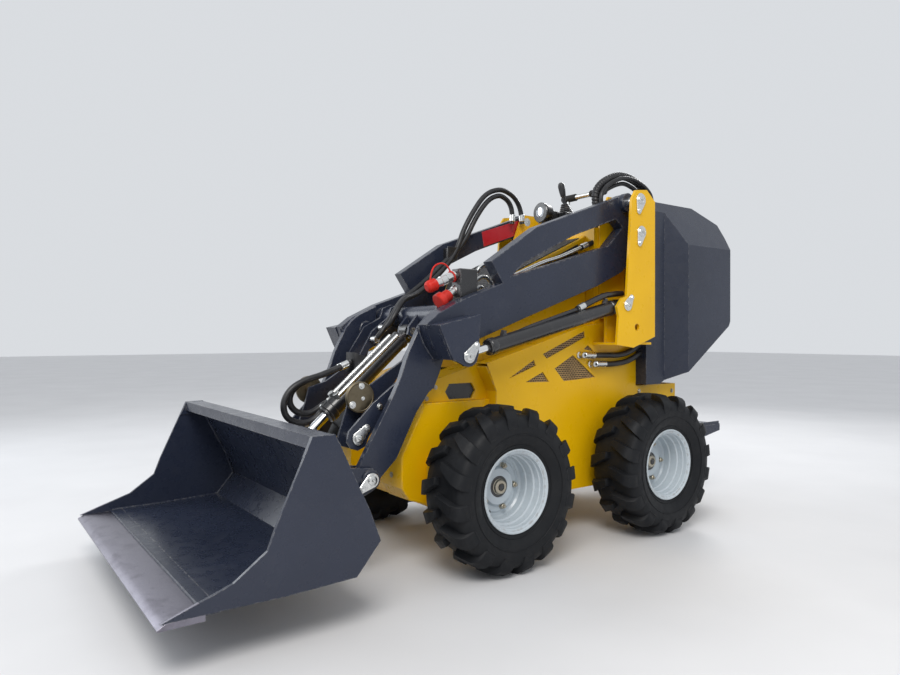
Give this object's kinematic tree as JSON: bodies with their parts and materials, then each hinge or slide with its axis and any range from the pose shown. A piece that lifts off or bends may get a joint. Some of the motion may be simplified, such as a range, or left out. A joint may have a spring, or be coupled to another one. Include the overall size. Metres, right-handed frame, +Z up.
{
  "type": "compact stand-on skid steer loader",
  "caption": "Compact stand-on wheeled skid steer loader with windowed lift arms, hydraulic cylinders and a low bucket, carried just above the ground.",
  "frame": {"origin": "centre of the machine's footprint box at ground level", "axes": "+X to the machine's left side, -Y forward to the bucket, +Z up"},
  "size_m": [1.227, 2.822, 1.5903],
  "materials": {
    "tyre_rubber": "matt moulded",
    "rim_paint": "silver gloss",
    "yellow_paint": "gloss",
    "slate_paint": "satin",
    "zinc_steel": "zinc plated",
    "chrome_rod": "polished",
    "black_paint": "gloss",
    "pad_rubber": "matt",
    "engine_iron": "cast",
    "worn_steel": "worn"
  },
  "bodies": {
    "chassis": {"side_panel_left": "yellow_paint", "side_panel_right": "yellow_paint", "belly_pan": "yellow_paint", "front_cover": "yellow_paint", "hood": "yellow_paint", "tower": "yellow_paint", "engine_block": "engine_iron", "post_left": "yellow_paint", "post_right": "yellow_paint", "arm_pivot_pins": "zinc_steel", "cylinder_base_pins": "zinc_steel", "wheel_motors": "black_paint", "tank_left": "slate_paint", "tank_right": "slate_paint", "thigh_pad": "pad_rubber", "console": "black_paint", "rear_wall": "yellow_paint", "step": "slate_paint", "lamp": "black_paint", "joystick": "black_paint", "handle_bar": "black_paint"},
    "wheel_front_left": {"tyre_front_left": "tyre_rubber", "rim_front_left": "rim_paint"},
    "wheel_front_right": {"tyre_front_right": "tyre_rubber", "rim_front_right": "rim_paint"},
    "wheel_rear_left": {"tyre_rear_left": "tyre_rubber", "rim_rear_left": "rim_paint"},
    "wheel_rear_right": {"tyre_rear_right": "tyre_rubber", "rim_rear_right": "rim_paint"},
    "lift_arm": {"arm_left": "slate_paint", "arm_right": "slate_paint", "lift_ears": "slate_paint", "knee_plates": "slate_paint", "cross_tube": "slate_paint", "tilt_base_pin": "zinc_steel"},
    "lift_barrel_left": {"lift_barrel_left": "black_paint"},
    "lift_rod_left": {"lift_rod_left": "chrome_rod"},
    "lift_barrel_right": {"lift_barrel_right": "black_paint"},
    "lift_rod_right": {"lift_rod_right": "chrome_rod"},
    "tilt_barrel": {"tilt_barrel": "black_paint"},
    "tilt_rod": {"tilt_rod": "chrome_rod"},
    "bucket": {"bucket_shell": "slate_paint", "cutting_edge": "worn_steel", "quick_attach": "slate_paint", "bucket_pins": "zinc_steel"}
  },
  "joints": [
    {"name": "roll_front_left", "type": "hinge", "parent": "chassis", "child": "wheel_front_left", "pos_m": [0.446, -0.218, 0.292], "axis": [1, 0, 0], "continuous": true},
    {"name": "roll_front_right", "type": "hinge", "parent": "chassis", "child": "wheel_front_right", "pos_m": [-0.446, -0.218, 0.292], "axis": [1, 0, 0], "continuous": true},
    {"name": "roll_rear_left", "type": "hinge", "parent": "chassis", "child": "wheel_rear_left", "pos_m": [0.446, 0.628, 0.292], "axis": [1, 0, 0], "continuous": true},
    {"name": "roll_rear_right", "type": "hinge", "parent": "chassis", "child": "wheel_rear_right", "pos_m": [-0.446, 0.628, 0.292], "axis": [1, 0, 0], "continuous": true},
    {"name": "arm_lift", "type": "hinge", "parent": "chassis", "child": "lift_arm", "pos_m": [0, 0.568, 1.406], "axis": [-1, 0, 0], "range_deg": [-3, 57]},
    {"name": "bucket_tilt", "type": "hinge", "parent": "lift_arm", "child": "bucket", "pos_m": [0, -0.67, 0.35], "axis": [1, 0, 0], "range_deg": [-22, 87]},
    {"name": "lift_swing_left", "type": "hinge", "parent": "chassis", "child": "lift_barrel_left", "pos_m": [0.385, 0.484, 0.958], "axis": [-1, 0, 0], "range_deg": [-3.92, 56.52]},
    {"name": "lift_stroke_left", "type": "slide", "parent": "lift_barrel_left", "child": "lift_rod_left", "axis": [0, -0.9725, -0.2329], "range_m": [-0.0248, 0.4361]},
    {"name": "lift_swing_right", "type": "hinge", "parent": "chassis", "child": "lift_barrel_right", "pos_m": [-0.385, 0.484, 0.958], "axis": [-1, 0, 0], "range_deg": [-3.92, 56.52]},
    {"name": "lift_stroke_right", "type": "slide", "parent": "lift_barrel_right", "child": "lift_rod_right", "axis": [0, -0.9725, -0.2329], "range_m": [-0.0248, 0.4361]},
    {"name": "tilt_swing", "type": "hinge", "parent": "lift_arm", "child": "tilt_barrel", "pos_m": [0, -0.325, 0.849], "axis": [1, 0, 0], "range_deg": [-3.55, 11.07]},
    {"name": "tilt_stroke", "type": "slide", "parent": "tilt_barrel", "child": "tilt_rod", "axis": [0, -0.754, -0.6569], "range_m": [-0.0453, 0.1733]}
  ],
  "couplings": [
    {"joint": "lift_swing_left", "follows": "arm_lift", "ratio": 0.97399},
    {"joint": "lift_stroke_left", "follows": "arm_lift", "m_per_rad": 0.43638},
    {"joint": "lift_swing_right", "follows": "arm_lift", "ratio": 0.97399},
    {"joint": "lift_stroke_right", "follows": "arm_lift", "m_per_rad": 0.43638},
    {"joint": "tilt_swing", "follows": "bucket_tilt", "ratio": 0.11573},
    {"joint": "tilt_stroke", "follows": "bucket_tilt", "m_per_rad": 0.11282}
  ]
}
